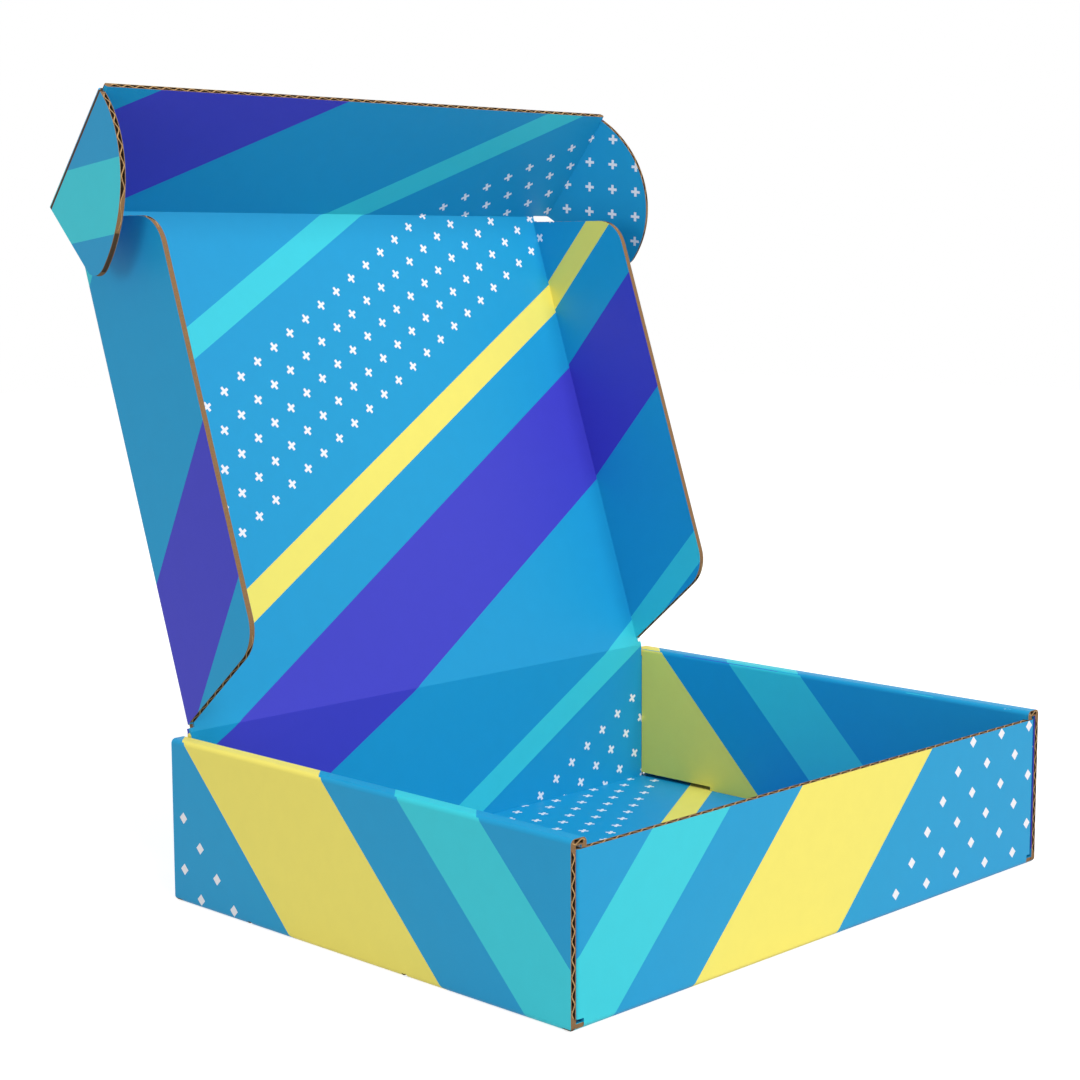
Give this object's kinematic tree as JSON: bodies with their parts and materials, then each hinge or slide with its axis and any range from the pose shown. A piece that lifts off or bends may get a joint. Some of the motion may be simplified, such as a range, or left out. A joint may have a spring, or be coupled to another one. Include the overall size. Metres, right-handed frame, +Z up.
{
  "type": "corrugated mailer box",
  "caption": "Shallow folded corrugated mailer tray with rolled side walls and a hinged lid with side flaps and an eared tuck panel, printed on both sides.",
  "frame": {"origin": "middle of the underside of the tray's base", "axes": "+Z up, -Y the front wall that faces the opener, +X to the right; the lid is creased to the rear wall at +Y"},
  "size_m": [0.3194, 0.2939, 0.3282],
  "materials": {
    "blue_print": "satin print on both faces, kraft brown cut edges",
    "purple_print": "satin print on both faces, kraft brown cut edges"
  },
  "bodies": {
    "tray": {"tray": "blue_print"},
    "lid": {"lid": "blue_print"},
    "tuck": {"tuck_panel": "blue_print"},
    "left_ear": {"tuck_left_ear": "purple_print"},
    "right_ear": {"tuck_right_ear": "blue_print"}
  },
  "joints": [
    {"name": "lid_crease", "type": "hinge", "parent": "tray", "child": "lid", "pos_m": [0, 0.10975, 0.06855], "axis": [-1, 0, 0], "range_deg": [-109, 71]},
    {"name": "tuck_crease", "type": "hinge", "parent": "lid", "child": "tuck", "pos_m": [0, 0.18216, 0.27883], "axis": [-1, 0, 0], "range_deg": [-32, 58]},
    {"name": "left_ear_crease", "type": "hinge", "parent": "tuck", "child": "left_ear", "pos_m": [-0.14655, 0.18216, 0.27883], "axis": [0, 0.6293, -0.7771], "range_deg": [-6, 84]},
    {"name": "right_ear_crease", "type": "hinge", "parent": "tuck", "child": "right_ear", "pos_m": [0.14655, 0.18216, 0.27883], "axis": [0, -0.6293, 0.7771], "range_deg": [-22, 68]}
  ]
}
